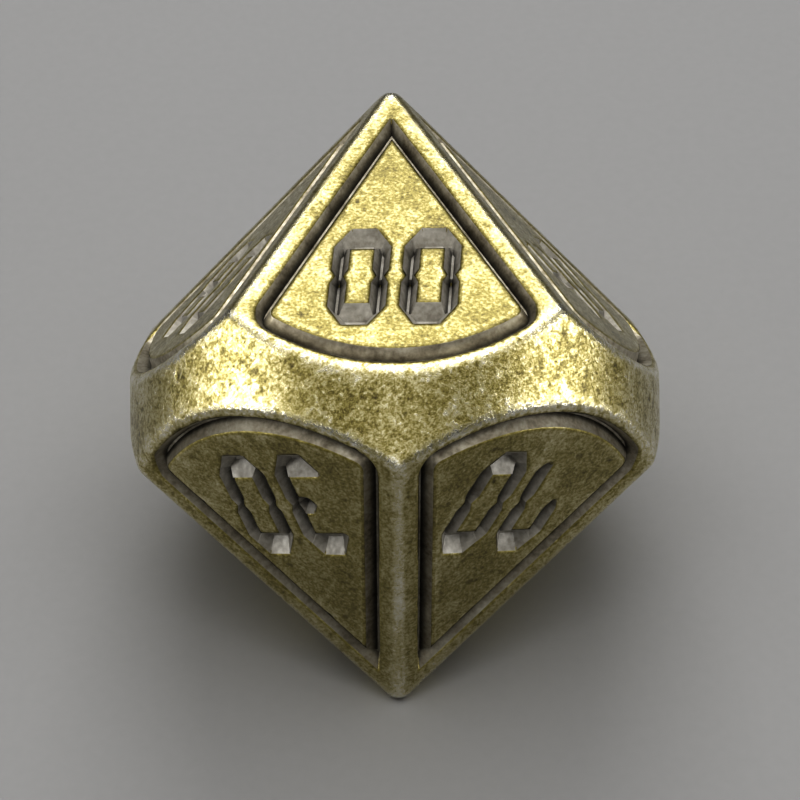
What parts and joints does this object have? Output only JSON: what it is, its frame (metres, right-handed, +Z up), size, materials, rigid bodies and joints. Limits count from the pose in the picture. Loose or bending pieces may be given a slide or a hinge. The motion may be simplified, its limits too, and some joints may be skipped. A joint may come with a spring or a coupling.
{
  "type": "polyhedral die",
  "caption": "Antique-brass metal percentile die with flat kite faces, a round band at the equator, grooved borders and dark engraved tens numerals.",
  "frame": {"origin": "foot of the die's centre on the face it rests on, the face numbered 90", "axes": "+Z up, the normal of the level face numbered 00 and the opposite of the resting face's normal; +X to the right and level when the numerals of the top face are read upright; +Y towards the upper of the die's two points"},
  "size_m": [0.017, 0.0148, 0.0134],
  "materials": {
    "antique_brass": "antiqued brass plate on a cast body: mottled grey-brown patina, brighter worn edges, fine tumbling scratches",
    "dark_lacquer": "thin blackened antiquing lacquer, satin, left in the recesses after the faces were rubbed back"
  },
  "bodies": {
    "root": {"die_body": "antique_brass", "border_lacquer_00": "dark_lacquer", "border_lacquer_10": "dark_lacquer", "border_lacquer_20": "dark_lacquer", "border_lacquer_30": "dark_lacquer", "border_lacquer_40": "dark_lacquer", "border_lacquer_50": "dark_lacquer", "border_lacquer_60": "dark_lacquer", "border_lacquer_70": "dark_lacquer", "border_lacquer_80": "dark_lacquer", "border_lacquer_90": "dark_lacquer", "number_lacquer_00": "dark_lacquer", "number_lacquer_10": "dark_lacquer", "number_lacquer_20": "dark_lacquer", "number_lacquer_30": "dark_lacquer", "number_lacquer_40": "dark_lacquer", "number_lacquer_50": "dark_lacquer", "number_lacquer_60": "dark_lacquer", "number_lacquer_70": "dark_lacquer", "number_lacquer_80": "dark_lacquer", "number_lacquer_90": "dark_lacquer"}
  },
  "joints": []
}
